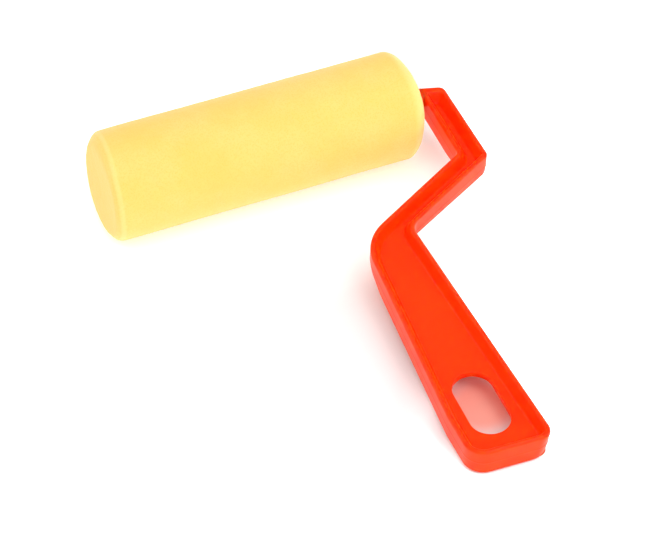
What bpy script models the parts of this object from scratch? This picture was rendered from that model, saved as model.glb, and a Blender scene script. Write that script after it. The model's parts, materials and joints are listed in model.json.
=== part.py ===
"""Small foam paint roller: a one-piece moulded handle and a foam-covered roller that turns on its spindle.

Design frame: X is the roller's axis, pointing from the roller to the arm, with x = 0 at the roller's arm end.
-Y runs from the roller to the end of the grip, and the handle is a flat moulding in the XY plane.
The object lies on the floor (z = 0) on the roller and on the end of the grip.
"""
import math

import bmesh
import bpy
from mathutils import Vector

MM = 0.001
GAP = 0.3 * MM                      # clearance between pieces that touch

# Roller
ROLLER_START = -1.1 * MM            # the end next to the arm
ROLLER_LENGTH = 97.5 * MM
ROLLER_END = ROLLER_START - ROLLER_LENGTH
ROLLER_RADIUS = 16.7 * MM
FOAM_OUTER_ROUND = 3.0 * MM         # rounding of the closed end's edge
FOAM_INNER_ROUND = 4.0 * MM
END_PLUG_THICKNESS = 4.0 * MM
CORE_RADIUS = 9.0 * MM
CORE_WALL = 1.2 * MM
CORE_START = ROLLER_START - 1.0 * MM
CORE_END = ROLLER_END + 8.5 * MM
HUB_FLANGE = 1.5 * MM
HUB_DEPTH = 9.0 * MM
HUB_WALL = 1.2 * MM

# Handle moulding
THICKNESS = 9.0 * MM                # height of the rim, front to back
WEB = 2.0 * MM                      # wall between the front and the back recess
RIM = 1.7 * MM
END_RIM = 2.7 * MM                  # rim across the end of the upright arm
MID_PLANE = -2.0 * MM               # the moulding's middle plane, below the roller's axis
EDGE = 0.4 * MM                     # edge rounding
ARM_INNER_X = 4.2 * MM              # side of the upright arm that faces the roller
ARM_TIP_OUTER_X = 11.3 * MM
ELBOW_OUTER_X = 12.05 * MM          # the arm widens a little towards the elbow
ARM_TIP_Y = 2.0 * MM                # the arm's tip on the roller's side
ARM_TIP_SLANT = math.radians(16.0)
DIAGONAL_WIDTH = 7.3 * MM
DIAGONAL_ANGLE = math.radians(29.6)  # diagonal arm against the roller's axis
NECK_RELIEF = 2.8 * MM              # how much the back of the cranked part is set in
ELBOW_RELIEF = 1.7 * MM
RELIEF_START_Y = -67.0 * MM
RELIEF_NECK_Y = -54.5 * MM
RELIEF_ELBOW_Y = -29.0 * MM
RELIEF_END_Y = -12.0 * MM
NECK_DEPTH = 50.4 * MM              # roller axis to the neck's outer corner
NECK_BEND = 16.5 * MM
GRIP_X = -28.1 * MM                 # the grip's centre line
NECK_HALF_WIDTH = 7.6 * MM
GRIP_HALF_WIDTH = 12.9 * MM
GRIP_END = -137.5 * MM
GRIP_END_SLANT = math.radians(2.2)
GRIP_KNEE_Y = -121.0 * MM           # from here on the roller's side runs straight
GRIP_KNEE_LEAN = 0.4 * MM           # how far that last stretch leans in
GRIP_LEFT_CORNER = 6.0 * MM
GRIP_RIGHT_CORNER = 4.5 * MM
SLOT_WIDTH = 11.9 * MM
SLOT_LENGTH = 23.2 * MM
SLOT_Y = -117.5 * MM

# Spindle, one moulding with the handle
SHOULDER_RADIUS = 3.4 * MM          # keeps the inner hub off the arm
SHOULDER_END = 0.2 * MM
SPINDLE_RADIUS = 2.8 * MM
SPINDLE_CORE = 1.7 * MM
RIB = 1.4 * MM
TIP_RADIUS = 2.4 * MM
TIP_END = ROLLER_END + 4.4 * MM
NUT_RADIUS = 5.0 * MM
NUT_THICKNESS = 0.6 * MM
NUT_TEETH = 6
NUT_NOTCH_WIDTH = 0.7 * MM
NUT_NOTCH_DEPTH = 0.7 * MM          # beyond the bore

ROUND_SIDES = 48
OVERLAP = 0.5 * MM                  # how far joined shapes run into each other


# ---------------------------------------------------------------- scene and materials

def clear_scene():
    for obj in list(bpy.data.objects):
        bpy.data.objects.remove(obj, do_unlink=True)


def new_collection(name):
    collection = bpy.data.collections.new(name)
    bpy.context.scene.collection.children.link(collection)
    return collection


def material(name, colour, roughness, metallic=0.0):
    mat = bpy.data.materials.new(name)
    mat.use_nodes = True
    shader = mat.node_tree.nodes["Principled BSDF"]
    shader.inputs["Base Color"].default_value = (*colour, 1.0)
    shader.inputs["Roughness"].default_value = roughness
    shader.inputs["Metallic"].default_value = metallic
    return mat


clear_scene()
PART = new_collection("paint_roller")
CUTTERS = new_collection("paint_roller_cutters")


def empty(name, location, rotation=(0.0, 0.0, 0.0)):
    obj = bpy.data.objects.new(name, None)
    obj.location = location
    obj.rotation_euler = rotation
    obj.empty_display_size = 0.01
    PART.objects.link(obj)
    return obj


def place(obj, parent, mat=None):
    obj.parent = parent
    if mat is not None:
        obj.data.materials.clear()
        obj.data.materials.append(mat)
    return obj


def hide_tool(obj, parent):
    """Keep a cutter or a shape to be joined out of the model."""
    obj.hide_render = True
    obj.display_type = "WIRE"
    obj.parent = parent


# ---------------------------------------------------------------- outlines

def handle_corners():
    """Corners (x, y, rounding) of the moulding's outline, counter-clockwise seen from the front."""
    along = Vector((math.cos(DIAGONAL_ANGLE), math.sin(DIAGONAL_ANGLE)))
    taper = (GRIP_HALF_WIDTH - NECK_HALF_WIDTH) / (-GRIP_END - NECK_DEPTH)
    neck_left = Vector((GRIP_X - NECK_HALF_WIDTH, -NECK_DEPTH))
    across = DIAGONAL_WIDTH * Vector((along.y, -along.x))
    arm_width = ARM_TIP_OUTER_X - ARM_INNER_X

    def on_diagonal(start, x):
        """The point at x on the diagonal arm's side through start."""
        return start + along * ((x - start.x) / along.x)

    elbow_inner = on_diagonal(neck_left, ARM_INNER_X)
    elbow_outer = on_diagonal(neck_left + across, ELBOW_OUTER_X)
    neck_right = neck_left + across
    for _ in range(8):
        right_side = GRIP_X + NECK_HALF_WIDTH + taper * (-NECK_DEPTH - neck_right.y)
        neck_right = on_diagonal(neck_left + across, right_side)
    knee_x = neck_left.x - taper * (-NECK_DEPTH - GRIP_KNEE_Y)
    end_rise = GRIP_HALF_WIDTH * math.tan(GRIP_END_SLANT)
    return [
        (ARM_INNER_X, ARM_TIP_Y, 0.5 * MM),
        (elbow_inner.x, elbow_inner.y, 2.5 * MM),
        (neck_left.x, neck_left.y, NECK_BEND),
        (knee_x, GRIP_KNEE_Y, 40.0 * MM),
        (knee_x + GRIP_KNEE_LEAN, GRIP_END + end_rise, GRIP_LEFT_CORNER),
        (GRIP_X + GRIP_HALF_WIDTH, GRIP_END - end_rise, GRIP_RIGHT_CORNER),
        (neck_right.x, neck_right.y, 5.0 * MM),
        (elbow_outer.x, elbow_outer.y, 2.0 * MM),
        (ARM_TIP_OUTER_X, ARM_TIP_Y - arm_width * math.tan(ARM_TIP_SLANT), 2.2 * MM),
    ]


def inset_corners(corners, distances):
    """Move side i, from corner i to corner i + 1, inward by distances[i], and adjust the roundings."""
    count = len(corners)
    lines = []
    for i, distance in enumerate(distances):
        a = Vector(corners[i][:2])
        b = Vector(corners[(i + 1) % count][:2])
        direction = (b - a).normalized()
        normal = Vector((-direction.y, direction.x))
        lines.append((a + normal * distance, direction))
    result = []
    for i in range(count):
        (p, d), (q, e) = lines[i - 1], lines[i]
        cross = d.x * e.y - d.y * e.x
        t = ((q.x - p.x) * e.y - (q.y - p.y) * e.x) / cross
        corner = p + d * t
        change = min(distances[i - 1], distances[i])
        rounding = corners[i][2] - change if cross > 0 else corners[i][2] + change
        result.append((corner.x, corner.y, max(rounding, 0.6 * MM)))
    return result


def rounded_outline(corners, step=math.radians(12.0)):
    """Points of a polygon whose corners are rounded by arcs."""
    points = []
    count = len(corners)
    for i in range(count):
        here = Vector(corners[i][:2])
        before = (Vector(corners[i - 1][:2]) - here).normalized()
        after = (Vector(corners[(i + 1) % count][:2]) - here).normalized()
        half = before.angle(after) / 2.0
        centre = here + (before + after).normalized() * (corners[i][2] / math.sin(half))
        reach = corners[i][2] / math.tan(half)
        start = here + before * reach - centre
        turn = start.angle_signed(here + after * reach - centre)
        steps = max(2, math.ceil(abs(turn) / step))
        for k in range(steps + 1):
            angle = -turn * k / steps
            spun = Vector((start.x * math.cos(angle) - start.y * math.sin(angle),
                           start.x * math.sin(angle) + start.y * math.cos(angle)))
            points.append(centre + spun)
    return points


def slot_outline(width, length, centre_x, centre_y, sides=24):
    """A slot with round ends, its length along Y."""
    points = []
    for k in range(sides):
        angle = 2.0 * math.pi * (k + 0.5) / sides
        shift = math.copysign((length - width) / 2.0, math.sin(angle))
        points.append(Vector((centre_x + width / 2.0 * math.cos(angle),
                              centre_y + shift + width / 2.0 * math.sin(angle))))
    return points


# ---------------------------------------------------------------- shapes

def plate(name, points, low, high, collection):
    """A flat outline made solid between the heights low and high."""
    curve = bpy.data.curves.new(name, "CURVE")
    curve.dimensions = "2D"
    curve.fill_mode = "BOTH"
    curve.extrude = (high - low) / 2.0
    spline = curve.splines.new("POLY")
    spline.points.add(len(points) - 1)
    for target, point in zip(spline.points, points):
        target.co = (point.x, point.y, 0.0, 1.0)
    spline.use_cyclic_u = True
    source = bpy.data.objects.new(name + "_outline", curve)
    source.location.z = (low + high) / 2.0
    collection.objects.link(source)
    depsgraph = bpy.context.evaluated_depsgraph_get()
    mesh = bpy.data.meshes.new_from_object(source.evaluated_get(depsgraph))
    mesh.name = name
    solid = bmesh.new()
    solid.from_mesh(mesh)
    bmesh.ops.remove_doubles(solid, verts=solid.verts, dist=0.00001)
    bmesh.ops.dissolve_limit(solid, angle_limit=math.radians(1.0), verts=solid.verts, edges=solid.edges)
    solid.to_mesh(mesh)
    solid.free()
    obj = bpy.data.objects.new(name, mesh)
    obj.matrix_world = source.matrix_world
    collection.objects.link(obj)
    bpy.data.objects.remove(source, do_unlink=True)
    return obj


def turned(name, profile, collection, sides=ROUND_SIDES, closed=True):
    """Turn a profile of (x, radius) points about the X axis; it runs along the outer side towards -X."""
    mesh = bpy.data.meshes.new(name)
    shape = bmesh.new()
    verts = [shape.verts.new((radius, 0.0, x)) for x, radius in profile]
    last = len(verts) if closed else len(verts) - 1
    for i in range(last):
        shape.edges.new((verts[i], verts[(i + 1) % len(verts)]))
    shape.to_mesh(mesh)
    shape.free()
    obj = bpy.data.objects.new(name, mesh)
    obj.rotation_euler = (0.0, math.radians(90.0), 0.0)
    screw = obj.modifiers.new("turn", "SCREW")
    screw.axis = "Z"
    screw.steps = sides
    screw.render_steps = sides
    screw.use_merge_vertices = True
    screw.merge_threshold = 0.00001
    screw.use_smooth_shade = True
    collection.objects.link(obj)
    return obj


def boolean(obj, tool, operation):
    mod = obj.modifiers.new(operation.lower() + "_" + tool.name, "BOOLEAN")
    mod.operation = operation
    mod.solver = "EXACT"
    mod.object = tool


def bevel(obj, width, segments, angle):
    mod = obj.modifiers.new("edges", "BEVEL")
    mod.width = width
    mod.segments = segments
    mod.limit_method = "ANGLE"
    mod.angle_limit = math.radians(angle)


def box(name, centre, size, collection):
    mesh = bpy.data.meshes.new(name)
    shape = bmesh.new()
    bmesh.ops.create_cube(shape, size=1.0)
    bmesh.ops.scale(shape, vec=size, verts=shape.verts)
    shape.to_mesh(mesh)
    shape.free()
    obj = bpy.data.objects.new(name, mesh)
    obj.location = centre
    collection.objects.link(obj)
    return obj


def arc_profile(x_centre, r_centre, radius, start, end, steps=4):
    """Profile points on an arc; angles are in degrees, 0 towards +X and 90 outward."""
    angles = [math.radians(start + (end - start) * k / steps) for k in range(steps + 1)]
    return [(x_centre + radius * math.cos(a), r_centre + radius * math.sin(a)) for a in angles]


# ---------------------------------------------------------------- handle

def spindle_pieces(parent):
    """The shoulder, the ribbed spindle and its two round journals, to be joined to the moulding."""
    root = ARM_INNER_X + OVERLAP
    inner_journal_end = CORE_START - HUB_DEPTH - 1.0 * MM
    outer_journal_start = CORE_END + HUB_DEPTH + 1.0 * MM
    spindle = turned("spindle", [
        (root, 0.0),
        (root, SHOULDER_RADIUS),
        (SHOULDER_END, SHOULDER_RADIUS),
        (SHOULDER_END, SPINDLE_RADIUS),
        (inner_journal_end, SPINDLE_RADIUS),
        (inner_journal_end, SPINDLE_CORE),
        (outer_journal_start, SPINDLE_CORE),
        (outer_journal_start, TIP_RADIUS),
        (TIP_END + EDGE, TIP_RADIUS),
        (TIP_END, TIP_RADIUS - EDGE),
        (TIP_END, 0.0),
    ], CUTTERS, sides=32, closed=False)
    rib_start = inner_journal_end + OVERLAP
    rib_end = outer_journal_start - OVERLAP
    rib_centre = (rib_start + rib_end) / 2.0
    rib_length = rib_start - rib_end
    rib_height = 2.0 * (SPINDLE_RADIUS - EDGE)
    upright = box("spindle_rib_upright", (rib_centre, 0.0, 0.0), (rib_length, RIB, rib_height), CUTTERS)
    level = box("spindle_rib_level", (rib_centre, 0.0, 0.0), (rib_length + MM, rib_height, RIB), CUTTERS)
    for tool in (spindle, upright, level):
        hide_tool(tool, parent)
    return spindle, upright, level


def relief_cutter(bottom):
    """Bar across the back that thins the cranked part between the grip and the arm's tip."""
    below = 2.0 * MM
    neck_run = (RELIEF_NECK_Y - RELIEF_START_Y) * below / NECK_RELIEF
    elbow_run = (RELIEF_END_Y - RELIEF_ELBOW_Y) * below / ELBOW_RELIEF
    profile = rounded_outline([
        (RELIEF_START_Y - neck_run, -below, EDGE),
        (RELIEF_END_Y + elbow_run, -below, EDGE),
        (RELIEF_ELBOW_Y, ELBOW_RELIEF, 25.0 * MM),
        (RELIEF_NECK_Y, NECK_RELIEF, 25.0 * MM),
    ], step=math.radians(4.0))
    cutter = plate("back_relief", profile, GRIP_END / 2.0, -GRIP_END / 2.0, CUTTERS)
    cutter.rotation_euler = (math.radians(90.0), 0.0, math.radians(90.0))
    cutter.location = (0.0, 0.0, bottom)
    return cutter


def make_handle(parent, mat):
    corners = handle_corners()
    low = MID_PLANE - THICKNESS / 2.0
    high = MID_PLANE + THICKNESS / 2.0
    handle = plate("handle", rounded_outline(corners), low, high, PART)
    rims = [RIM] * len(corners)
    rims[-1] = END_RIM
    recess = rounded_outline(inset_corners(corners, rims))
    slot = slot_outline(SLOT_WIDTH, SLOT_LENGTH, GRIP_X, SLOT_Y)
    past = 1.0 * MM
    cuts = (
        plate("front_recess", recess, MID_PLANE + WEB / 2.0, high + past, CUTTERS),
        plate("back_recess", recess, low - past, MID_PLANE - WEB / 2.0, CUTTERS),
        plate("hang_slot", slot, low - past, high + past, CUTTERS),
        relief_cutter(low),
    )
    for cut in cuts:
        hide_tool(cut, parent)
        boolean(handle, cut, "DIFFERENCE")
    bevel(handle, EDGE, 1, 50.0)
    for piece in spindle_pieces(parent):
        boolean(handle, piece, "UNION")
    place(handle, parent, mat)
    return handle


def make_push_nut(parent, mat):
    """Dished spring washer whose inner tongues grip the spindle's tip."""
    outer_face = CORE_END - GAP - HUB_FLANGE - 0.5 * MM
    inner_radius = TIP_RADIUS + GAP
    nut = turned("push_nut", [
        (outer_face, NUT_RADIUS),
        (outer_face - NUT_THICKNESS, NUT_RADIUS),
        (outer_face - 2.0 * NUT_THICKNESS, inner_radius),
        (outer_face - NUT_THICKNESS, inner_radius),
    ], PART)
    for k in range(NUT_TEETH):
        angle = math.pi * 2.0 * k / NUT_TEETH
        centre = (outer_face - NUT_THICKNESS, inner_radius * math.cos(angle), inner_radius * math.sin(angle))
        notch = box(f"nut_notch_{k}", centre, (4.0 * MM, 2.0 * NUT_NOTCH_DEPTH, NUT_NOTCH_WIDTH), CUTTERS)
        notch.rotation_euler.x = angle
        hide_tool(notch, parent)
        boolean(nut, notch, "DIFFERENCE")
    return place(nut, parent, mat)


# ---------------------------------------------------------------- roller

def make_core_tube(parent, mat):
    inner = CORE_RADIUS - CORE_WALL
    tube = turned("core_tube", [
        (CORE_START, CORE_RADIUS), (CORE_END, CORE_RADIUS), (CORE_END, inner), (CORE_START, inner),
    ], PART)
    return place(tube, parent, mat)


def hub_profile(face, direction, bore):
    """Flange, skirt and bearing boss of a hub; direction is +1 where the hub reaches towards +X."""
    skirt = CORE_RADIUS - CORE_WALL - GAP
    boss = bore + HUB_WALL
    under = face + direction * HUB_FLANGE
    depth = under + direction * HUB_DEPTH
    web = under + direction * 1.0 * MM
    points = [
        (face, bore), (face, CORE_RADIUS), (under, CORE_RADIUS), (under, skirt), (depth, skirt),
        (depth, skirt - HUB_WALL), (web, skirt - HUB_WALL), (web, boss), (depth, boss), (depth, bore),
    ]
    return points if direction < 0 else points[::-1]


def make_hubs(parent, mat):
    inner_face = CORE_START + GAP + HUB_FLANGE
    outer_face = CORE_END - GAP - HUB_FLANGE
    inner_hub = turned("inner_hub", hub_profile(inner_face, -1, SPINDLE_RADIUS + GAP), PART)
    outer_hub = turned("outer_hub", hub_profile(outer_face, 1, TIP_RADIUS + GAP), PART)
    return place(inner_hub, parent, mat), place(outer_hub, parent, mat)


def make_foam(parent, mat):
    bore = CORE_RADIUS + GAP
    plug_back = ROLLER_END + END_PLUG_THICKNESS
    profile = [(ROLLER_START, bore)]
    profile += arc_profile(ROLLER_START - FOAM_INNER_ROUND, ROLLER_RADIUS - FOAM_INNER_ROUND,
                           FOAM_INNER_ROUND, 0.0, 90.0)
    profile += arc_profile(ROLLER_END + FOAM_OUTER_ROUND, ROLLER_RADIUS - FOAM_OUTER_ROUND,
                           FOAM_OUTER_ROUND, 90.0, 180.0)
    profile += [(ROLLER_END, bore)]
    sleeve = turned("foam_sleeve", profile, PART, sides=64)
    plug = turned("foam_end_plug", [
        (plug_back, 0.0), (plug_back, CORE_RADIUS), (ROLLER_END, CORE_RADIUS), (ROLLER_END, 0.0),
    ], PART, closed=False)
    return place(sleeve, parent, mat), place(plug, parent, mat)


# ---------------------------------------------------------------- assembly

def lying_tilt(lowest_y):
    """Angle by which the handle dips so that its back edge at the grip's end meets the floor."""
    reach = -lowest_y - EDGE
    depth = THICKNESS / 2.0 - MID_PLANE
    return math.asin(ROLLER_RADIUS / math.hypot(reach, depth)) - math.atan2(depth, reach)


def main():
    outline = rounded_outline(handle_corners())
    lowest_y = min(point.y for point in outline)
    widest_x = max(point.x for point in outline)
    tilt = lying_tilt(lowest_y)
    front = MID_PLANE + THICKNESS / 2.0 - EDGE
    far_y = lowest_y * math.cos(tilt) - front * math.sin(tilt)
    axis_place = (-(ROLLER_END + widest_x) / 2.0, -(ROLLER_RADIUS + far_y) / 2.0, ROLLER_RADIUS)
    handle_frame = empty("handle_frame", axis_place, (tilt, 0.0, 0.0))
    roller_axis = empty("roller_axis", axis_place)

    plastic = material("handle_plastic", (0.95, 0.055, 0.006), 0.22)
    core_plastic = material("core_plastic", (0.82, 0.82, 0.80), 0.45)
    foam = material("foam", (0.98, 0.78, 0.24), 0.95)
    steel = material("spring_steel", (0.62, 0.63, 0.65), 0.3, 1.0)

    make_handle(handle_frame, plastic)
    make_push_nut(handle_frame, steel)
    make_core_tube(roller_axis, core_plastic)
    make_hubs(roller_axis, core_plastic)
    make_foam(roller_axis, foam)


main()
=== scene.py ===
"""Looks of a small foam paint roller: an orange-red one-piece plastic handle and a pale yellow foam cover.

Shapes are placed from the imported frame: the roller's joint, the hang_web mount and the CAD nodes' boxes.
Handle shapes are drawn in the handle's own plane (x along the roller's axis, y towards the roller, z out of
the front), in metres, and then tilted into place.
"""

import json
import math

import bmesh
import bpy
from mathutils import Matrix, Vector, noise


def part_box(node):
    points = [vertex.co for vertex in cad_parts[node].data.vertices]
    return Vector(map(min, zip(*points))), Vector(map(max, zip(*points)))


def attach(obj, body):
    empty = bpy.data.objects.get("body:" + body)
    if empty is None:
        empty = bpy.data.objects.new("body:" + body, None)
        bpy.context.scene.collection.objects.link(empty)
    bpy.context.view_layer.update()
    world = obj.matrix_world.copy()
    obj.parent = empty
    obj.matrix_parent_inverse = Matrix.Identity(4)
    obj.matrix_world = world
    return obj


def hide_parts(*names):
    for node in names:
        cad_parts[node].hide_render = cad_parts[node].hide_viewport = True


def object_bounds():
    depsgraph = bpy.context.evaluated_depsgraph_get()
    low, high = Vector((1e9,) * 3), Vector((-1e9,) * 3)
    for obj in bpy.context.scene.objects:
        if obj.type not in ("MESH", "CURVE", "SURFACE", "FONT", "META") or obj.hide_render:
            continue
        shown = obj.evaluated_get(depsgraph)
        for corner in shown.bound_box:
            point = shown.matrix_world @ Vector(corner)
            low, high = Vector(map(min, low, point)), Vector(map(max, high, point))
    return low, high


MM = 0.001

# Handle moulding, in its own plane: the roller's axis lies at y = 0
THICKNESS = 9.0 * MM
WEB = 2.0 * MM                      # the plate between the front and the back recess
MID_PLANE = -2.0 * MM
ARM_INNER_X = 4.2 * MM
ARM_TIP_OUTER_X = 11.3 * MM
ELBOW_OUTER_X = 12.05 * MM
ARM_TIP_Y = 2.0 * MM
ARM_TIP_SLANT = math.radians(16.0)
DIAGONAL_WIDTH = 7.3 * MM
DIAGONAL_ANGLE = math.radians(29.6)
NECK_DEPTH = 50.4 * MM
GRIP_X = -28.1 * MM
NECK_HALF_WIDTH = 7.6 * MM
GRIP_HALF_WIDTH = 12.9 * MM
GRIP_END = -137.5 * MM
GRIP_END_SLANT = math.radians(2.2)
KNEE_Y = -121.0 * MM                # below the knee the grip's left side runs nearly straight down
KNEE_DRIFT = 0.4 * MM
SLOT_WIDTH = 11.9 * MM
SLOT_LENGTH = 23.2 * MM
SLOT_Y = -117.5 * MM

# Roundings of the outline's corners
TIP_INNER_ROUND = 0.5 * MM
ELBOW_INNER_ROUND = 2.5 * MM
NECK_LEFT_ROUND = 16.5 * MM
KNEE_ROUND = 40.0 * MM
GRIP_LEFT_ROUND = 6.0 * MM
GRIP_RIGHT_ROUND = 3.5 * MM
NECK_RIGHT_ROUND = 5.0 * MM
ELBOW_OUTER_ROUND = 2.0 * MM
TIP_OUTER_ROUND = 2.2 * MM
LEAST_ROUND = 0.3 * MM

# The back is set in along the cranked part: by how much, and where that starts, is full, eases and ends
NECK_RELIEF = 2.8 * MM
ELBOW_RELIEF = 1.1 * MM
RELIEF_Y = (-67.0 * MM, -54.5 * MM, -29.0 * MM, -18.0 * MM)

# Finer shape of the moulding
SKIN = 0.2 * MM                     # the finished outline stands this far outside the CAD's chamfered one
DRAFT = 0.06 * MM                   # how far the rim is set in from the parting line
SEAM = 0.05 * MM                    # height of the parting line's ridge
SEAM_FOOT = 0.14 * MM               # where the ridge ends, from the middle plane
SIDE_FOOT = 0.5 * MM                # where the drafted side begins
OUTER_ROUND = 0.9 * MM              # of the rim's outer edge
EDGE_FOOT = 0.25 * MM               # the side's last ring lies this far below that rounding
WALL_START = 1.05 * MM              # where the rim's top turns down into the recess
WALL_RUN = 2.35 * MM                # how wide the recess's soft wall is, from the rim's top to its floor
WALL_STEPS = 14
TIP_RIM_EXTRA = 1.0 * MM            # the rim is this much wider at the arm's tip
BACK_CORNER_GAIN = 2.2 * MM         # two outer corners are this much rounder at the back than at the front
SLOT_ROUND = 0.3 * MM
SLOT_SIDES = 72
OUTLINE_PITCH = 1.3 * MM

# Spindle
SHOULDER_RADIUS = 2.9 * MM
SHOULDER_END = 0.2 * MM
SPINDLE_RADIUS = 2.8 * MM
SPINDLE_CORE = 1.7 * MM             # round core between the ribs
SPINDLE_ROOT = 0.4 * MM             # how deep the spindle starts inside the arm
SPINDLE_STEP = 0.3 * MM             # chamfers of the shoulder, the journals and the tip
JOURNAL = 10.0 * MM                 # how far the journals reach inside the core tube's ends
RIB = 1.4 * MM
RIB_INSET = 0.4 * MM                # the ribs stay this far inside the journals
RIB_OVERLAP = 0.3 * MM              # and run this far into their ends
TIP_RADIUS = 2.4 * MM
TIP_TO_END = 4.4 * MM               # the spindle's tip lies this far inside the foam's closed end

# Core tube and the hub at its arm end
CORE_RADIUS = 9.0 * MM
CORE_START = 1.0 * MM               # the tube's ends lie this far inside the foam's
CORE_END = 8.5 * MM
RUNNING_GAP = 0.3 * MM
HUB_FLANGE = 1.5 * MM
HUB_SKIRT_INSET = 1.5 * MM
HUB_DEPTH = 9.0 * MM                # how far the skirt and the bearing reach behind the flange
HUB_WALL = 1.2 * MM
HUB_FLOOR = 1.0 * MM
HUB_EDGE = 0.35 * MM
HUB_DISH = ((4.6, 0.0), (4.8, 0.15), (5.2, 0.45), (5.5, 0.5),   # radius and depth in mm of the flange's dish
            (7.2, 0.5), (7.5, 0.4), (7.8, 0.05), (8.0, 0.0))

# Foam cover
ROLLER_START = -1.1 * MM            # the foam's arm end, in the handle's plane
FOAM_RADIUS = 16.7 * MM
FOAM_BORE = 9.3 * MM
PLUG_THICKNESS = 4.0 * MM
CLOSED_END_ROUND = 3.0 * MM
OPEN_END_ROUND = 4.0 * MM
FOAM_STEP = 0.42 * MM               # mesh pitch of the foam's surface
EDGE_RIDGE = 0.06 * MM              # the skin stands up a little along the closed end's edge

# The foam's ends stand a little out of square, to follow their outline in the main view. Moves are along the axis,
# positive towards the arm.
TOP_SIDE = Vector((0.0, 0.68, 0.73))        # across the axis, up in the main view at rest
FAR_SIDE = Vector((0.0, 0.73, -0.68))       # and away from its camera
CUT_REACH = 12.0 * MM               # a cut's move fades out over this length
CORNER_REACH = 6.0 * MM             # and the extra move of its edge over this one
CORNER_BAND = 5.0 * MM
CLOSED_LEAN = 0.45 * MM
CLOSED_OUT = 0.30 * MM
CLOSED_FAR_OUT = 0.65 * MM
CLOSED_UNDER_IN = 0.5 * MM
CLOSED_EDGE_IN = 1.3 * MM
OPEN_OUT = 1.25 * MM
OPEN_TOP_IN = 0.8 * MM
OPEN_UNDER_IN = 1.3 * MM
OPEN_EDGE_UNDER_IN = 0.9 * MM
OPEN_EDGE_TOP_IN = 0.5 * MM

# Bands round the foam's edges, in degrees from the end's face (0) to the cylinder (90): middle and half width
# along these bands the foam is painted paler: partly its denser cut skin, partly a painted highlight
CLOSED_RIDGE = (62.0, 30.0)
OPEN_SKIN_AND_HIGHLIGHT_BAND = (50.0, 60.0)
FACE_SHADE_FADE = 35.0                    # the closed face's painted shade ends here

# The floor isn't plain. It gives off light that differs by place, which thins the shadows in the main view, and it
# has a salmon patch of painted red light and shade under the hang slot. Each pair is where a change starts and
# ends.
FLOOR_GLOW = 0.10                   # left of a slanting line from the grip's end to the arm
FLOOR_GLOW_RIGHT = 0.95             # and right of it
GLOW_LINE_SLOPE = 0.47              # x per y along that line
GLOW_LINE = (15.0 * MM, 40.0 * MM)  # x where the line crosses y = 0
ROLLER_GLOW = 0.38                  # added under the roller and in front of it, up to the arm
ROLLER_GLOW_Y = (0.0, 30.0 * MM)
ROLLER_GLOW_X = (37.0 * MM, 56.0 * MM)
FAR_GLOW = 0.5                      # added far from the object
FAR_GLOW_REACH = (0.18, 0.5)
CONTACT_REACH = 20.0 * MM           # the glow fades under what is this close to the floor
SLOT_SHADE = (9.0 * MM, 17.0 * MM)  # and under the hang slot, by the distance from its middle
RED_LIGHT_SPOT = Vector((2.5, 5.0, 0.0)) * MM     # middle of the painted red light and shade, from the slot's middle
RED_LIGHT_SPOT_REACH = (6.0 * MM, 14.5 * MM)

# White tent round the stage, a little dimmer above the back
TENT = 0.6
TENT_OPENING = 0.5
OPENING_DIRECTION = Vector((0.24, 0.64, 0.73))
OPENING_EDGE = (0.62, 0.92)         # cosines of the angles where it starts and where it is full

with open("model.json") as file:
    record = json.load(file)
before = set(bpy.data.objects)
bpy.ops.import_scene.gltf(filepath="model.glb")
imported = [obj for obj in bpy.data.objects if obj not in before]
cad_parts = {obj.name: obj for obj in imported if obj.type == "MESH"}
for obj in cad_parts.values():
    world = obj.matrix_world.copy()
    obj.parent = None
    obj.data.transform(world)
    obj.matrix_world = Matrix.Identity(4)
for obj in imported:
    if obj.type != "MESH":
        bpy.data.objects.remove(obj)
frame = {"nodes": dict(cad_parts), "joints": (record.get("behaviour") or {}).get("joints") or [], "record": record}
cad_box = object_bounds()


# ---------------------------------------------------------------- where the frame puts things

def placements():
    """Matrices that put the handle's plane and the roller in the row frame.

    The handle is tilted about the roller's axis, as the hang_web mount's normal says.
    """
    joint = frame["joints"][0]
    web = next(m for m in frame["record"]["mounts"] if m["name"] == "hang_web")
    tilt = math.atan2(-web["axis"][1], web["axis"][2])
    start_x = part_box("foam_sleeve")[1].x
    upright = Matrix.Translation((start_x - ROLLER_START, joint["pos_m"][1], joint["pos_m"][2]))
    return upright @ Matrix.Rotation(tilt, 4, "X"), upright


HANDLE_PLACE, ROLLER_PLACE = placements()
ROLLER_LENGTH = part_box("foam_sleeve")[1].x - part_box("foam_sleeve")[0].x
ROLLER_END = ROLLER_START - ROLLER_LENGTH


# ---------------------------------------------------------------- material helpers

def set_range(map_range, *limits):
    """From and to limits of a Map Range node"""
    for key, value in zip(("From Min", "From Max", "To Min", "To Max"), limits):
        map_range.inputs[key].default_value = value


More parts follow.
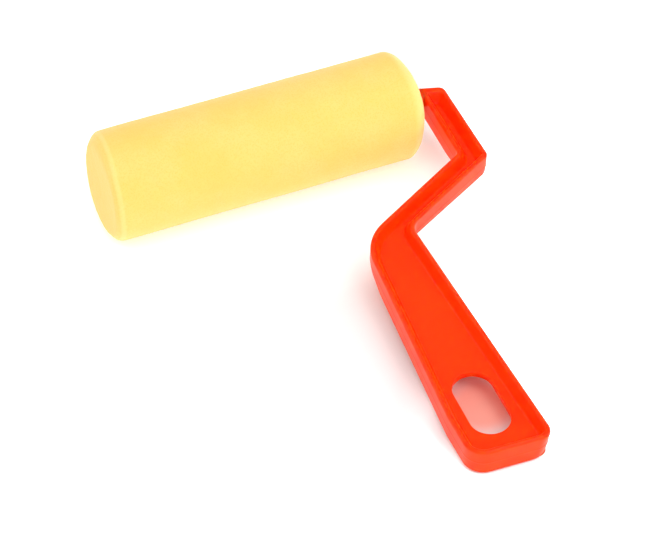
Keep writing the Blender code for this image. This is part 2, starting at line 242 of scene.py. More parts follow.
class Nodes:
    """A material with short calls for adding and linking nodes."""

    def __init__(self, name):
        self.mat = bpy.data.materials.new(name)
        self.mat.use_nodes = True
        self.tree = self.mat.node_tree
        self.shader = self.tree.nodes["Principled BSDF"]
        self.place = self.add("ShaderNodeTexCoord").outputs["Object"]

    def add(self, kind, **values):
        made = self.tree.nodes.new(kind)
        for key, value in values.items():
            setattr(made, key, value)
        return made

    def link(self, output, target):
        self.tree.links.new(output, target)

    def set(self, **values):
        """Constants on the shader's own sockets"""
        for key, value in values.items():
            self.shader.inputs[key.replace("_", " ")].default_value = value

    def noise(self, scale, detail=2.0, roughness=0.5, stretch=None):
        made = self.add("ShaderNodeTexNoise")
        made.inputs["Scale"].default_value = scale
        made.inputs["Detail"].default_value = detail
        made.inputs["Roughness"].default_value = roughness
        source = self.place
        if stretch:
            mapping = self.add("ShaderNodeMapping")
            mapping.inputs["Scale"].default_value = stretch
            self.link(source, mapping.inputs["Vector"])
            source = mapping.outputs["Vector"]
        self.link(source, made.inputs["Vector"])
        return made.outputs["Fac"]

    def cells(self, scale):
        made = self.add("ShaderNodeTexVoronoi")
        made.inputs["Scale"].default_value = scale
        self.link(self.place, made.inputs["Vector"])
        return made.outputs["Distance"]

    def distance(self, point):
        """How far the surface lies from point"""
        made = self.add("ShaderNodeVectorMath", operation="DISTANCE")
        made.inputs[1].default_value = point
        self.link(self.place, made.inputs[0])
        return made.outputs["Value"]

    def attribute(self, name):
        return self.add("ShaderNodeAttribute", attribute_name=name).outputs["Fac"]

    def spread(self, source, low, high, to_low, to_high):
        """source, smoothly mapped from low..high to to_low..to_high"""
        made = self.add("ShaderNodeMapRange", interpolation_type="SMOOTHSTEP")
        set_range(made, low, high, to_low, to_high)
        self.link(source, made.inputs["Value"])
        return made.outputs["Result"]

    def mix(self, factor, first, second):
        """Mix two colours, each an (r, g, b) or another node's output"""
        made = self.add("ShaderNodeMix", data_type="RGBA")
        self.link(factor, made.inputs["Factor"])
        colour_inputs = made.inputs[6:8]
        colour_output = made.outputs[2]
        for value, socket in zip((first, second), colour_inputs):
            if isinstance(value, tuple):
                socket.default_value = (*value, 1.0)
            else:
                self.link(value, socket)
        return colour_output

    def sum(self, first, second, weight):
        """first + weight * second"""
        made = self.add("ShaderNodeMath", operation="MULTIPLY_ADD")
        made.inputs[1].default_value = weight
        self.link(second, made.inputs[0])
        self.link(first, made.inputs[2])
        return made.outputs["Value"]

    def product(self, first, second):
        made = self.add("ShaderNodeMath", operation="MULTIPLY")
        self.link(first, made.inputs[0])
        self.link(second, made.inputs[1])
        return made.outputs["Value"]

    def bump(self, height, distance, strength):
        made = self.add("ShaderNodeBump")
        made.inputs["Strength"].default_value = strength
        made.inputs["Distance"].default_value = distance
        self.link(height, made.inputs["Height"])
        self.link(made.outputs["Normal"], self.shader.inputs["Normal"])


def handle_plastic():
    """Orange-red polypropylene with a soft gloss: faint flow clouding, orange peel, fine scratches."""
    m = Nodes("orange_red_plastic")
    cloud = m.spread(m.noise(28.0, 3.0), 0.35, 0.7, 0.0, 1.0)
    flow = m.spread(m.noise(60.0, 2.0, 0.5, (1.0, 0.12, 1.0)), 0.4, 0.65, 0.0, 1.0)
    base = m.mix(cloud, (0.965, 0.043, 0.0004), (0.975, 0.050, 0.0008))
    streaked = m.mix(m.spread(flow, 0.0, 1.0, 0.0, 0.35), base, (0.93, 0.039, 0.0006))
    m.link(streaked, m.shader.inputs["Base Color"])
    scratches = m.spread(m.noise(900.0, 4.0, 0.65, (1.0, 0.03, 1.0)), 0.55, 0.8, 0.0, 1.0)
    scuffs = m.spread(m.noise(140.0, 5.0, 0.6), 0.5, 0.75, 0.0, 1.0)
    worn = m.sum(scratches, scuffs, 0.6)
    m.link(m.spread(worn, 0.0, 1.2, 0.32, 0.44), m.shader.inputs["Roughness"])
    peel = m.sum(m.noise(1100.0, 2.0), m.noise(130.0, 2.0), 2.5)
    m.bump(m.sum(peel, scratches, -0.25), 0.00003, 0.5)
    m.set(IOR=1.45, Specular_IOR_Level=0.14, Subsurface_Weight=1.0, Subsurface_Scale=0.006)
    m.shader.inputs["Subsurface Radius"].default_value = (1.0, 0.03, 0.01)
    return m.mat


def foam():
    """Fine-celled yellow foam: small pores in painted shade, a paler band along the turned edges that is partly
    denser skin and partly a painted highlight, and painted shade on the closed end's face.
    """
    m = Nodes("yellow_foam")
    pores = m.cells(1900.0)
    fine = m.noise(3400.0, 3.0, 0.7)
    patch = m.noise(70.0, 4.0, 0.6)
    speck = m.spread(m.sum(pores, fine, 0.5), 0.2, 0.9, 0.0, 1.0)
    body = m.mix(m.spread(patch, 0.3, 0.7, 0.0, 1.0), (0.95, 0.575, 0.133), (0.955, 0.605, 0.172))
    # pores painted darker: painted shade in the pits that the bump makes
    pore_shade = m.mix(speck, (0.94, 0.54, 0.106), body)
    # the closed end's face painted deeper: painted shade where that face turns from the light
    face = m.mix(m.spread(m.attribute("closed_face_shade"), 0.0, 1.0, 0.0, 0.55), pore_shade, (0.95, 0.525, 0.115))
    # turned edges painted paler: partly denser cut skin, partly a painted highlight
    pale = m.mix(m.spread(m.attribute("edge_skin_and_highlight"), 0.0, 1.0, 0.0, 0.38), face, (0.98, 0.77, 0.33))
    m.link(pale, m.shader.inputs["Base Color"])
    m.bump(m.sum(pores, fine, 0.8), 0.0002, 0.3)
    m.set(Roughness=0.95, Specular_IOR_Level=0.1, Subsurface_Weight=0.35, Subsurface_Scale=0.004,
          Sheen_Weight=0.45, Sheen_Roughness=0.45)
    m.shader.inputs["Sheen Tint"].default_value = (1.0, 0.90, 0.6, 1.0)
    m.shader.inputs["Subsurface Radius"].default_value = (1.0, 0.75, 0.3)
    return m.mat


def core_plastic():
    """Off-white matt plastic of the hubs and the core tube."""
    m = Nodes("core_plastic_look")
    cloud = m.spread(m.noise(90.0, 3.0), 0.35, 0.65, 0.0, 1.0)
    m.link(m.mix(cloud, (0.78, 0.775, 0.74), (0.84, 0.835, 0.81)), m.shader.inputs["Base Color"])
    m.link(m.spread(m.noise(500.0, 4.0), 0.3, 0.7, 0.38, 0.55), m.shader.inputs["Roughness"])
    m.bump(m.noise(1500.0, 3.0), 0.00002, 0.5)
    m.set(IOR=1.49)
    return m.mat


def spring_steel():
    """Stamped bright steel with fine brushing."""
    m = Nodes("spring_steel_look")
    brush = m.noise(2500.0, 3.0, 0.6, (0.1, 1.0, 1.0))
    m.link(m.mix(brush, (0.50, 0.51, 0.53), (0.66, 0.67, 0.69)), m.shader.inputs["Base Color"])
    m.link(m.spread(brush, 0.3, 0.7, 0.22, 0.4), m.shader.inputs["Roughness"])
    m.bump(brush, 0.00001, 0.5)
    m.set(Metallic=1.0)
    return m.mat


def floor_glow(m, slot):
    """Strength of the floor's own light, shaped by place to thin the shadows in the main view."""
    open_sky = m.add("ShaderNodeAmbientOcclusion", samples=8)
    open_sky.inputs["Distance"].default_value = CONTACT_REACH
    split = m.add("ShaderNodeSeparateXYZ")
    m.link(m.place, split.inputs["Vector"])
    x, y = split.outputs["X"], split.outputs["Y"]
    level = m.spread(m.sum(x, y, -GLOW_LINE_SLOPE), *GLOW_LINE, FLOOR_GLOW, FLOOR_GLOW_RIGHT)
    clear = m.spread(open_sky.outputs["AO"], 0.25, 0.95, 0.0, 1.0)
    outside = m.spread(m.distance(slot), *SLOT_SHADE, 0.0, 1.0)
    near = m.product(m.product(clear, level), outside)
    front = m.product(m.spread(y, *ROLLER_GLOW_Y, 0.0, 1.0), m.spread(x, *ROLLER_GLOW_X, ROLLER_GLOW, 0.0))
    far = m.spread(m.distance(Vector()), *FAR_GLOW_REACH, 0.0, FAR_GLOW)
    return m.sum(m.sum(near, front, 1.0), far, 1.0)


def pale_floor():
    """White floor with a shaped glow of its own and a salmon patch of painted red light and shade under the hang
    slot.
    """
    m = Nodes("pale_floor")
    low, high = (Vector(c) for c in frame["record"]["physics"]["openings"][0]["box_m"])
    slot = Vector((*((low + high) / 2.0).xy, 0.0))
    pale = m.mix(m.spread(m.noise(3.0, 2.0), 0.3, 0.7, 0.0, 1.0), (0.82, 0.82, 0.82), (0.84, 0.84, 0.84))
    # salmon patch of painted red light and shade under the hang slot
    painted_red_light_mask = m.spread(m.distance(slot + RED_LIGHT_SPOT), *RED_LIGHT_SPOT_REACH, 1.0, 0.0)
    m.link(m.mix(painted_red_light_mask, pale, (0.90, 0.40, 0.32)), m.shader.inputs["Base Color"])
    m.link(floor_glow(m, slot), m.shader.inputs["Emission Strength"])
    m.set(Roughness=0.8, Specular_IOR_Level=0.2)
    m.shader.inputs["Emission Color"].default_value = (1.0, 1.0, 1.0, 1.0)
    return m.mat


# ---------------------------------------------------------------- outlines in the handle's plane

def handle_corners():
    """Corners (x, y, rounding) of the moulding's outline, counter-clockwise seen from the front."""
    along = Vector((math.cos(DIAGONAL_ANGLE), math.sin(DIAGONAL_ANGLE)))
    taper = (GRIP_HALF_WIDTH - NECK_HALF_WIDTH) / (-GRIP_END - NECK_DEPTH)
    neck_left = Vector((GRIP_X - NECK_HALF_WIDTH, -NECK_DEPTH))
    lower = neck_left + DIAGONAL_WIDTH * Vector((along.y, -along.x))

    def on_diagonal(start, x):
        return start + along * ((x - start.x) / along.x)

    elbow_inner = on_diagonal(neck_left, ARM_INNER_X)
    elbow_outer = on_diagonal(lower, ELBOW_OUTER_X)
    neck_right = lower
    for _ in range(8):      # closes in on where the tapered right side meets the diagonal
        neck_right = on_diagonal(lower, GRIP_X + NECK_HALF_WIDTH + taper * (-NECK_DEPTH - neck_right.y))
    knee_x = neck_left.x - taper * (-NECK_DEPTH - KNEE_Y)
    end_rise = GRIP_HALF_WIDTH * math.tan(GRIP_END_SLANT)
    tip_drop = (ARM_TIP_OUTER_X - ARM_INNER_X) * math.tan(ARM_TIP_SLANT)
    return [
        (ARM_INNER_X, ARM_TIP_Y, TIP_INNER_ROUND),
        (elbow_inner.x, elbow_inner.y, ELBOW_INNER_ROUND),
        (neck_left.x, neck_left.y, NECK_LEFT_ROUND),
        (knee_x, KNEE_Y, KNEE_ROUND),
        (knee_x + KNEE_DRIFT, GRIP_END + end_rise, GRIP_LEFT_ROUND),
        (GRIP_X + GRIP_HALF_WIDTH, GRIP_END - end_rise, GRIP_RIGHT_ROUND),
        (neck_right.x, neck_right.y, NECK_RIGHT_ROUND),
        (elbow_outer.x, elbow_outer.y, ELBOW_OUTER_ROUND),
        (ARM_TIP_OUTER_X, ARM_TIP_Y - tip_drop, TIP_OUTER_ROUND),
    ]


SOFTER_BEHIND = (5, 7)              # the grip's right corner and the elbow's outer one, in handle_corners()


def inset_corners(corners, distances):
    """Move side i, from corner i to corner i + 1, inward by distances[i], and adjust the roundings."""
    count = len(corners)
    lines = []
    for i, distance in enumerate(distances):
        a = Vector(corners[i][:2])
        direction = (Vector(corners[(i + 1) % count][:2]) - a).normalized()
        lines.append((a + Vector((-direction.y, direction.x)) * distance, direction))
    result = []
    for i in range(count):
        (p, d), (q, e) = lines[i - 1], lines[i]
        cross = d.x * e.y - d.y * e.x
        corner = p + d * (((q.x - p.x) * e.y - (q.y - p.y) * e.x) / cross)
        change = min(distances[i - 1], distances[i]) * (-1.0 if cross > 0 else 1.0)
        result.append((corner.x, corner.y, max(corners[i][2] + change, LEAST_ROUND)))
    return [(x, y, min(r, fitting_radius(result, i))) for i, (x, y, r) in enumerate(result)]


def fitting_radius(corners, i):
    """Largest rounding at corner i that leaves room for its neighbours' roundings."""
    here = Vector(corners[i][:2])
    before = Vector(corners[i - 1][:2]) - here
    after = Vector(corners[(i + 1) % len(corners)][:2]) - here
    return 0.45 * min(before.length, after.length) * math.tan(before.angle(after) / 2.0)


def turned(vector, angle):
    c, s = math.cos(angle), math.sin(angle)
    return Vector((vector.x * c - vector.y * s, vector.x * s + vector.y * c))


def corner_arc(corners, i, steps):
    """Points round corner i, from the end of the side before it to the start of the side after it."""
    here = Vector(corners[i][:2])
    before = (Vector(corners[i - 1][:2]) - here).normalized()
    after = (Vector(corners[(i + 1) % len(corners)][:2]) - here).normalized()
    half = before.angle(after) / 2.0
    centre = here + (before + after).normalized() * (corners[i][2] / math.sin(half))
    reach = corners[i][2] / math.tan(half)
    start = here + before * reach - centre
    turn = -start.angle_signed(here + after * reach - centre)
    return [centre + turned(start, turn * k / steps) for k in range(steps + 1)]


class Outline:
    """The moulding's outline and its insets, all sampled with the same number of points."""

    def __init__(self, corners):
        self.corners = corners
        count = len(corners)
        self.arc_steps = []
        for i in range(count):
            arc = corner_arc(corners, i, 8)
            length = sum((b - a).length for a, b in zip(arc, arc[1:]))
            self.arc_steps.append(min(24, max(6, math.ceil(length / (0.5 * OUTLINE_PITCH)))))
        self.side_steps = []
        for i in range(count):
            start = corner_arc(corners, i, 2)[-1]
            end = corner_arc(corners, (i + 1) % count, 2)[0]
            self.side_steps.append(max(2, math.ceil((end - start).length / OUTLINE_PITCH)))

    def inset(self, distance, end_extra=0.0, gain=0.0):
        """Points of the outline moved inward, the arm's tip side by end_extra more.

        gain is added to the roundings of the corners in SOFTER_BEHIND.
        """
        distances = [distance - SKIN] * len(self.corners)
        distances[-1] += end_extra
        softer = [(x, y, r + (gain if i in SOFTER_BEHIND else 0.0))
                  for i, (x, y, r) in enumerate(self.corners)]
        corners = inset_corners(softer, distances)
        arcs = [corner_arc(corners, i, steps) for i, steps in enumerate(self.arc_steps)]
        points = []
        for i, arc in enumerate(arcs):
            points += arc
            start, end = arc[-1], arcs[(i + 1) % len(arcs)][0]
            points += [start.lerp(end, k / self.side_steps[i]) for k in range(1, self.side_steps[i])]
        return points


def slot_points(grow):
    """The hang slot's outline, widened all round by grow."""
    radius = SLOT_WIDTH / 2.0 + grow
    points = []
    for k in range(SLOT_SIDES):
        angle = 2.0 * math.pi * (k + 0.5) / SLOT_SIDES
        middle = SLOT_Y + math.copysign((SLOT_LENGTH - SLOT_WIDTH) / 2.0, math.sin(angle))
        points.append(Vector((GRIP_X + radius * math.cos(angle), middle + radius * math.sin(angle))))
    return points


def smooth(t):
    """0 up to t = 0, 1 from t = 1, and a smooth step between"""
    t = min(1.0, max(0.0, t))
    return t * t * (3.0 - 2.0 * t)


def relief(y):
    """How far the back is set in along the cranked part."""
    start, neck, elbow, end = RELIEF_Y
    along = min(1.0, max(0.0, (y - neck) / (elbow - neck)))
    level = NECK_RELIEF + (ELBOW_RELIEF - NECK_RELIEF) * along
    return level * smooth((y - start) / (neck - start)) * smooth((end - y) / (end - elbow))


# ---------------------------------------------------------------- mesh helpers

def quarter(radius, steps):
    """(across, down) steps of a rounded edge, from its side to its top."""
    angles = [math.pi / 2.0 * k / steps for k in range(steps + 1)]
    return [(radius * (1.0 - math.cos(a)), radius * (1.0 - math.sin(a))) for a in angles]


def join_rings(bm, first, second):
    """A band of faces between two rings"""
    count = len(first)
    for i in range(count):
        j = (i + 1) % count
        bm.faces.new((first[i], first[j], second[j], second[i]))


def ring_edges(bm, ring):
    return [bm.edges.get((ring[i], ring[(i + 1) % len(ring)])) for i in range(len(ring))]


def finish_mesh(name, bm, mat, place, body, sharp=None, weighted=True):
    """Make the object, shade it smooth and let it ride on its body."""
    bmesh.ops.recalc_face_normals(bm, faces=bm.faces)
    mesh = bpy.data.meshes.new(name)
    bm.to_mesh(mesh)
    bm.free()
    mesh.transform(place)
    mesh.polygons.foreach_set("use_smooth", [True] * len(mesh.polygons))
    if sharp:
        mesh.set_sharp_from_angle(angle=sharp)
    mesh.materials.append(mat)
    obj = bpy.data.objects.new(name, mesh)
    bpy.context.scene.collection.objects.link(obj)
    if weighted:
        normals = obj.modifiers.new("flat_faces_stay_flat", "WEIGHTED_NORMAL")
        normals.keep_sharp = True
    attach(obj, body)
    return obj


def turned_ring(bm, x, radius, sides):
    """A ring about the X axis; radius 0 gives a single point."""
    if radius == 0.0:
        return [bm.verts.new((x, 0.0, 0.0))]
    angles = [2.0 * math.pi * k / sides for k in range(sides)]
    return [bm.verts.new((x, radius * math.cos(a), radius * math.sin(a))) for a in angles]


def turn_profile(bm, profile, sides=96):
    """Surface of (x, radius) points turned about the X axis; gives its rings."""
    rings = [turned_ring(bm, x, radius, sides) for x, radius in profile]
    for first, second in zip(rings, rings[1:]):
        if len(first) == 1 or len(second) == 1:
            point, ring = (first[0], second) if len(first) == 1 else (second[0], first)
            for i in range(len(ring)):
                bm.faces.new((point, ring[i], ring[(i + 1) % len(ring)]))
        else:
            join_rings(bm, first, second)
    return rings


# ---------------------------------------------------------------- handle

def side_profile():
    """(inset, height above the middle plane) next to the parting line."""
    return [(0.0, SEAM_FOOT), (DRAFT / 2.0, SIDE_FOOT)]


def rim_profile():
    """(inset, depth below the rim's top) up the side and round the rim's outer edge."""
    foot = [(DRAFT, OUTER_ROUND + EDGE_FOOT)]
    return foot + [(DRAFT + across, down) for across, down in quarter(OUTER_ROUND, 6)]


def recess_profile():
    """(inset, share of the recess's depth left above the web) down the recess's soft wall."""
    steps = [k / WALL_STEPS for k in range(WALL_STEPS + 1)]
    return [(WALL_START + WALL_RUN * t, (1.0 + math.cos(math.pi * t)) / 2.0) for t in steps]


def moulding_side(bm, outline, parting, sign):
    """One face of the moulding, front (+1) or back (-1); gives the ring round its recess floor."""
    rings = [parting]

    def rim_top(y):
        return THICKNESS / 2.0 - (relief(y) if sign < 0 else 0.0)

    def add_ring(points, height):
        rings.append([bm.verts.new((p.x, p.y, MID_PLANE + sign * height(p.y))) for p in points])
        join_rings(bm, rings[-2], rings[-1])

    for inset, above_middle in side_profile():
        add_ring(outline.inset(inset, gain=BACK_CORNER_GAIN / 2.0), lambda y: above_middle)
    gain = BACK_CORNER_GAIN if sign < 0 else 0.0
    for inset, down in rim_profile():
        add_ring(outline.inset(inset, gain=gain), lambda y: rim_top(y) - down)
    for inset, share in recess_profile():
        points = outline.inset(inset, end_extra=TIP_RIM_EXTRA)
        add_ring(points, lambda y: WEB / 2.0 + (rim_top(y) - WEB / 2.0) * share)
    return rings[-1]


def slot_side(bm, sign):
    """Rounded mouth of the hang slot on one side, from the web's face inward."""
    rings = []
    for across, down in reversed(quarter(SLOT_ROUND, 4)):
        points = slot_points(across)
        rings.append([bm.verts.new((p.x, p.y, MID_PLANE + sign * (WEB / 2.0 - down))) for p in points])
        if len(rings) > 1:
            join_rings(bm, rings[-2], rings[-1])
    return rings


def make_moulding(mat):
    """Grip, neck, diagonal and arm in one, recessed on both faces, with a hang slot through the web."""
    bm = bmesh.new()
    outline = Outline(handle_corners())
    ridge = outline.inset(-SEAM, gain=BACK_CORNER_GAIN / 2.0)
    parting = [bm.verts.new((p.x, p.y, MID_PLANE)) for p in ridge]
    mouths = []
    for sign in (1.0, -1.0):
        floor_ring = moulding_side(bm, outline, parting, sign)
        mouth = slot_side(bm, sign)
        mouths.append(mouth)
        edges = ring_edges(bm, floor_ring) + ring_edges(bm, mouth[0])
        bmesh.ops.triangle_fill(bm, use_beauty=True, edges=edges, normal=(0.0, 0.0, sign))
    join_rings(bm, mouths[0][-1], mouths[1][-1])
    moulding = finish_mesh("handle_moulding", bm, mat, HANDLE_PLACE, "handle")
    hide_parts("handle")
    return moulding


def make_spindle(mat):
    """Shoulder, two round journals and the ribbed stretch between them."""
    bm = bmesh.new()
    root = ARM_INNER_X + SPINDLE_ROOT
    inner_end = ROLLER_START - CORE_START - JOURNAL
    outer_start = ROLLER_END + CORE_END + JOURNAL
    tip = ROLLER_END + TIP_TO_END
    step = SPINDLE_STEP
    turn_profile(bm, [
        (root, 0.0), (root, SHOULDER_RADIUS), (ARM_INNER_X - step, SHOULDER_RADIUS),
        (SHOULDER_END + step, SHOULDER_RADIUS), (SHOULDER_END, SHOULDER_RADIUS - step),
        (SHOULDER_END, SPINDLE_RADIUS), (inner_end + step, SPINDLE_RADIUS),
        (inner_end, SPINDLE_RADIUS - step), (inner_end, SPINDLE_CORE),
        (outer_start, SPINDLE_CORE), (outer_start, TIP_RADIUS - step), (outer_start - step, TIP_RADIUS),
        (tip + step, TIP_RADIUS), (tip, TIP_RADIUS - step), (tip, 0.0),
    ], sides=64)
    length = inner_end - outer_start + 2.0 * RIB_OVERLAP
    reach = 2.0 * (SPINDLE_RADIUS - RIB_INSET)
    for height, width in ((reach, RIB), (RIB, reach)):
        bar = bmesh.ops.create_cube(bm, size=1.0)["verts"]
        bmesh.ops.scale(bm, vec=(length, height, width), verts=bar)
        bmesh.ops.translate(bm, vec=((inner_end + outer_start) / 2.0, 0.0, 0.0), verts=bar)
    return finish_mesh("handle_spindle", bm, mat, HANDLE_PLACE, "handle",
                       sharp=math.radians(40.0))


# ---------------------------------------------------------------- roller

def make_inner_hub(mat):
    """The hub seen at the roller's arm end: a dished flange, a raised bearing boss and the skirt inside."""
    bm = bmesh.new()
    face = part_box("inner_hub")[1].x - ROLLER_PLACE.translation.x
    behind = face - HUB_FLANGE
    floor = behind - HUB_FLOOR
    depth = behind - HUB_DEPTH
    bore = SPINDLE_RADIUS + RUNNING_GAP
    skirt = CORE_RADIUS - HUB_SKIRT_INSET
    edge = HUB_EDGE
    boss = [(behind, bore), (face - edge / 2, bore), (face, bore + edge / 2)]
    dish = [(face - down * MM, radius * MM) for radius, down in HUB_DISH]
    rim = [(face, CORE_RADIUS - edge), (face - edge * 0.3, CORE_RADIUS - edge * 0.3),
           (face - edge, CORE_RADIUS), (behind, CORE_RADIUS)]
    inside = [(behind, skirt), (depth, skirt), (depth, skirt - HUB_WALL), (floor, skirt - HUB_WALL),
              (floor, bore + HUB_WALL), (depth, bore + HUB_WALL), (depth, bore), (behind, bore)]
    turn_profile(bm, boss + dish + rim + inside)
    bmesh.ops.remove_doubles(bm, verts=bm.verts, dist=0.002 * MM)
    hub = finish_mesh("bearing_hub", bm, mat, ROLLER_PLACE, "roller",
                      sharp=math.radians(35.0))
    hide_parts("inner_hub")
    return hub


def steps_between(a, b, pitch):
    """Points from a up to, but without, b"""
    count = max(1, round(math.dist(a, b) / pitch))
    return [(a[0] + (b[0] - a[0]) * k / count, a[1] + (b[1] - a[1]) * k / count) for k in range(count)]


def arc_between(centre, radius, start, end, pitch):
    """Points of an arc from angle start up to, but without, end"""
    count = max(4, round(radius * abs(end - start) / pitch))
    angles = [start + (end - start) * k / count for k in range(count)]
    return [(centre[0] + radius * math.cos(a), centre[1] + radius * math.sin(a)) for a in angles]


def foam_profile():
    """(x, radius) points of the cover's skin, from the bore at the arm end to the closed end's middle."""
    quarter_turn = math.pi / 2.0
    open_centre = (ROLLER_START - OPEN_END_ROUND, FOAM_RADIUS - OPEN_END_ROUND)
    closed_centre = (ROLLER_END + CLOSED_END_ROUND, FOAM_RADIUS - CLOSED_END_ROUND)
    points = steps_between((ROLLER_START, FOAM_BORE), (ROLLER_START, open_centre[1]), FOAM_STEP)
    points += arc_between(open_centre, OPEN_END_ROUND, 0.0, quarter_turn, FOAM_STEP)
    points += steps_between((open_centre[0], FOAM_RADIUS), (closed_centre[0], FOAM_RADIUS), FOAM_STEP)
    points += arc_between(closed_centre, CLOSED_END_ROUND, quarter_turn, 2.0 * quarter_turn, FOAM_STEP)
    points += steps_between((ROLLER_END, closed_centre[1]), (ROLLER_END, 0.0), FOAM_STEP)
    return points + [(ROLLER_END, 0.0)]


def cell_height(p):
    """Foam surface height at p: cut cells, small lumps and a slow unevenness."""
    cell = noise.voronoi(p * 1100.0)[0][0]
    lumps = noise.noise(p * 420.0)
    slow = noise.noise(p * 60.0 + Vector((7.0, 3.0, 1.0)))
    return (0.10 * (cell - 0.45) + 0.05 * lumps + 0.12 * slow) * MM


def edge_turn(from_end, radius, rounding):
    """Degrees round an end's rounded edge: 0 on the end face, 90 on the cylinder."""
    across = max(0.0, radius - FOAM_RADIUS + rounding)
    back = max(0.0, rounding - from_end)
    return 90.0 if back == 0.0 else math.degrees(math.atan2(across, back))


def band(turn, middle, half_width):
    """1 in the middle of a band, fading to 0 at its sides"""
    return smooth(1.0 - abs(turn - middle) / half_width)


def closed_end_move(top, far, from_end, on_edge):
    """How far the skin near the closed end moves along the axis."""
    cut = CLOSED_LEAN * top - CLOSED_OUT - CLOSED_FAR_OUT * max(0.0, far) * (0.8 + 0.4 * top)
    cut += CLOSED_UNDER_IN * smooth((-top - 0.6) / 0.4)
    edge = on_edge * max(0.0, top) * CLOSED_EDGE_IN
    return smooth(1.0 - from_end / CUT_REACH) * cut + smooth(1.0 - from_end / CORNER_REACH) * edge


def open_end_move(top, from_end, on_edge):
    """How far the skin near the arm end moves along the axis."""
    cut = OPEN_OUT - OPEN_TOP_IN * smooth((top - 0.1) / 0.8) - OPEN_UNDER_IN * smooth((-top - 0.1) / 0.9)
    edge = -on_edge * (OPEN_EDGE_UNDER_IN * max(0.0, -top) + OPEN_EDGE_TOP_IN * max(0.0, top))
    return smooth(1.0 - from_end / CUT_REACH) * cut + smooth(1.0 - from_end / CORNER_REACH) * edge


def foam_solid(bm):
    """The plain cover, hollow from its arm end up to the plug; gives the vertices of its skin."""
    sides = round(2.0 * math.pi * FOAM_RADIUS / FOAM_STEP)
    outer = turn_profile(bm, foam_profile(), sides)
    plug_face = ROLLER_END + PLUG_THICKNESS
    inner = turn_profile(bm, [(ROLLER_START, FOAM_BORE), (plug_face, FOAM_BORE), (plug_face, 0.0)], sides)
    seam = [v for ring in inner for v in ring] + outer[0]
    bmesh.ops.remove_doubles(bm, verts=seam, dist=0.002 * MM)
    bmesh.ops.recalc_face_normals(bm, faces=bm.faces)
    bm.normal_update()
    return [v for ring in outer for v in ring if v.is_valid]


def make_foam(mat):
    """Closed-end cover with cut cells, slightly crooked ends and soft edges."""
    bm = bmesh.new()
    edge_skin_highlight_layer = bm.verts.layers.float.new("edge_skin_and_highlight")
    face_shade_layer = bm.verts.layers.float.new("closed_face_shade")
    moves = []
    for v in foam_solid(bm):
        radius = math.hypot(v.co.y, v.co.z)
        top, far = TOP_SIDE.dot(v.co) / FOAM_RADIUS, FAR_SIDE.dot(v.co) / FOAM_RADIUS
        from_closed, from_open = v.co.x - ROLLER_END, ROLLER_START - v.co.x
        on_edge = smooth((radius - FOAM_RADIUS + CORNER_BAND) / CORNER_BAND)
        shift = closed_end_move(top, far, from_closed, on_edge) + open_end_move(top, from_open, on_edge)
        closed_turn = edge_turn(from_closed, radius, CLOSED_END_ROUND)
        open_turn = edge_turn(from_open, radius, OPEN_END_ROUND)
        ridge = band(closed_turn, *CLOSED_RIDGE)
        # paler edge bands: partly denser cut skin, partly a painted highlight
        v[edge_skin_highlight_layer] = max(ridge, band(open_turn, *OPEN_SKIN_AND_HIGHLIGHT_BAND))
        # painted shade on the closed end's face
        v[face_shade_layer] = smooth(1.0 - closed_turn / FACE_SHADE_FADE)
        at_bore = from_open < 0.1 * MM
        cells = cell_height(v.co) * (smooth((radius - FOAM_BORE - 0.3 * MM) / MM) if at_bore else 1.0)
        moves.append((v, v.normal * (cells + EDGE_RIDGE * ridge) + Vector((shift, 0.0, 0.0))))
    for v, move in moves:
        v.co += move
    cover = finish_mesh("foam_cover", bm, mat, ROLLER_PLACE, "roller", weighted=False)
    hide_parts("foam_sleeve", "foam_end_plug")
    return cover


# ---------------------------------------------------------------- stage

CAMERA_AZIMUTH = -20.846
CAMERA_ELEVATION = 42.982
CAMERA_ROLL = -1.90
CAMERA_DISTANCE = 0.902
CAMERA_ASIDE = (5.2 * MM, 1.06 * MM)    # where the box's centre lies right of and above the view's axis
LENS = 169.2


def make_camera():
    """Camera at the photograph's angle, looking past the middle of the object's box"""
    low, high = cad_box
    a, e, r = (math.radians(v) for v in (CAMERA_AZIMUTH, CAMERA_ELEVATION, CAMERA_ROLL))
    back = Vector((math.sin(a) * math.cos(e), -math.cos(a) * math.cos(e), math.sin(e)))
    level = Vector((math.cos(a), math.sin(a), 0.0))
    rise = back.cross(level)
    right = level * math.cos(r) + rise * math.sin(r)
    up = back.cross(right)
    place = (low + high) / 2.0 + back * CAMERA_DISTANCE - right * CAMERA_ASIDE[0] - up * CAMERA_ASIDE[1]
    data = bpy.data.cameras.new("camera")
    data.lens = LENS
    data.sensor_width = 36.0
    data.clip_start = 0.01
    camera = bpy.data.objects.new("camera", data)
    camera.matrix_world = Matrix.Translation(place) @ Matrix((right, up, back)).transposed().to_4x4()
    bpy.context.scene.collection.objects.link(camera)
    bpy.context.scene.camera = camera


SOFT_LIGHTS = (                         # name, azimuth, elevation, distance, size and power in watts
    ("overhead", 0.0, 80.0, 0.9, 0.5, 1.5),
    ("key", 21.0, 50.0, 0.9, 0.35, 2.0),
    ("back", 222.0, 35.0, 0.9, 0.5, 1.5),
    ("left", -70.0, 40.0, 0.9, 0.7, 1.3),
    ("front", 15.0, 25.0, 1.1, 0.8, 1.8),
    ("right", 60.0, 35.0, 0.9, 0.7, 2.0),
)


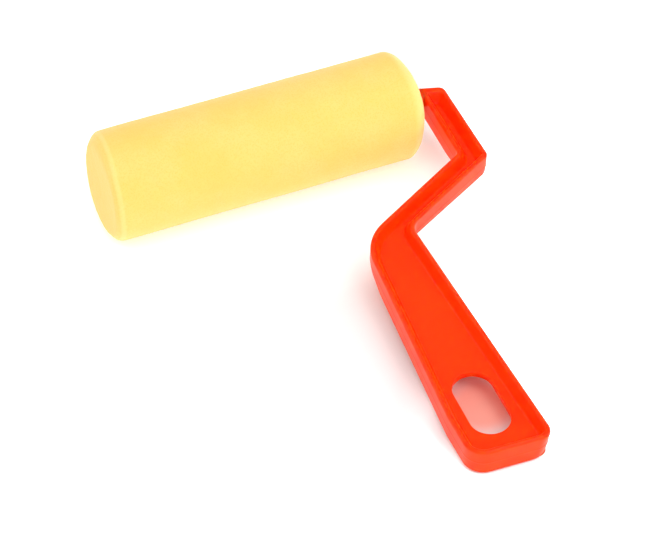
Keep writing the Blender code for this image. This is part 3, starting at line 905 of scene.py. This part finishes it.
def soft_light(name, azimuth, elevation, distance, size, power):
    """White square soft box aimed at the object"""
    a, e = math.radians(azimuth), math.radians(elevation)
    direction = Vector((math.sin(a) * math.cos(e), -math.cos(a) * math.cos(e), math.sin(e)))
    data = bpy.data.lights.new(name, "AREA")
    data.shape = "SQUARE"
    data.size = size
    data.energy = power
    light = bpy.data.objects.new(name, data)
    light.location = direction * distance
    light.rotation_mode = "QUATERNION"
    light.rotation_quaternion = direction.to_track_quat("Z", "Y")
    bpy.context.scene.collection.objects.link(light)


def tent(tree):
    """White tent all round, dimmer towards the opening"""
    direction = tree.nodes.new("ShaderNodeTexCoord").outputs["Generated"]
    facing = tree.nodes.new("ShaderNodeVectorMath")
    facing.operation = "DOT_PRODUCT"
    facing.inputs[1].default_value = OPENING_DIRECTION.normalized()
    tree.links.new(direction, facing.inputs[0])
    level = tree.nodes.new("ShaderNodeMapRange")
    level.interpolation_type = "SMOOTHSTEP"
    set_range(level, *OPENING_EDGE, TENT, TENT_OPENING)
    tree.links.new(facing.outputs["Value"], level.inputs["Value"])
    background = tree.nodes["Background"]
    background.inputs["Color"].default_value = (1.0, 1.0, 1.0, 1.0)
    tree.links.new(level.outputs["Result"], background.inputs["Strength"])


def make_floor():
    bm = bmesh.new()
    bmesh.ops.create_grid(bm, x_segments=8, y_segments=8, size=3.0)
    mesh = bpy.data.meshes.new("floor")
    bm.to_mesh(mesh)
    bm.free()
    mesh.materials.append(pale_floor())
    floor = bpy.data.objects.new("floor", mesh)
    floor.location.z = cad_box[0].z - 0.05 * MM
    bpy.context.scene.collection.objects.link(floor)


def make_studio():
    world = bpy.data.worlds.new("studio")
    world.use_nodes = True
    tent(world.node_tree)
    bpy.context.scene.world = world
    bpy.context.scene.view_settings.view_transform = "Standard"
    for light in SOFT_LIGHTS:
        soft_light(*light)


# ---------------------------------------------------------------- everything

def dress(cad_name, look):
    """A CAD node that is shown as it is gets a material of its own."""
    mesh = frame["nodes"][cad_name].data
    mesh.materials.clear()
    mesh.materials.append(look)


orange = handle_plastic()
white = core_plastic()
make_moulding(orange)
make_spindle(orange)
make_inner_hub(white)
make_foam(foam())
dress("core_tube", white)
dress("outer_hub", white)
dress("push_nut", spring_steel())
make_floor()
make_studio()
make_camera()
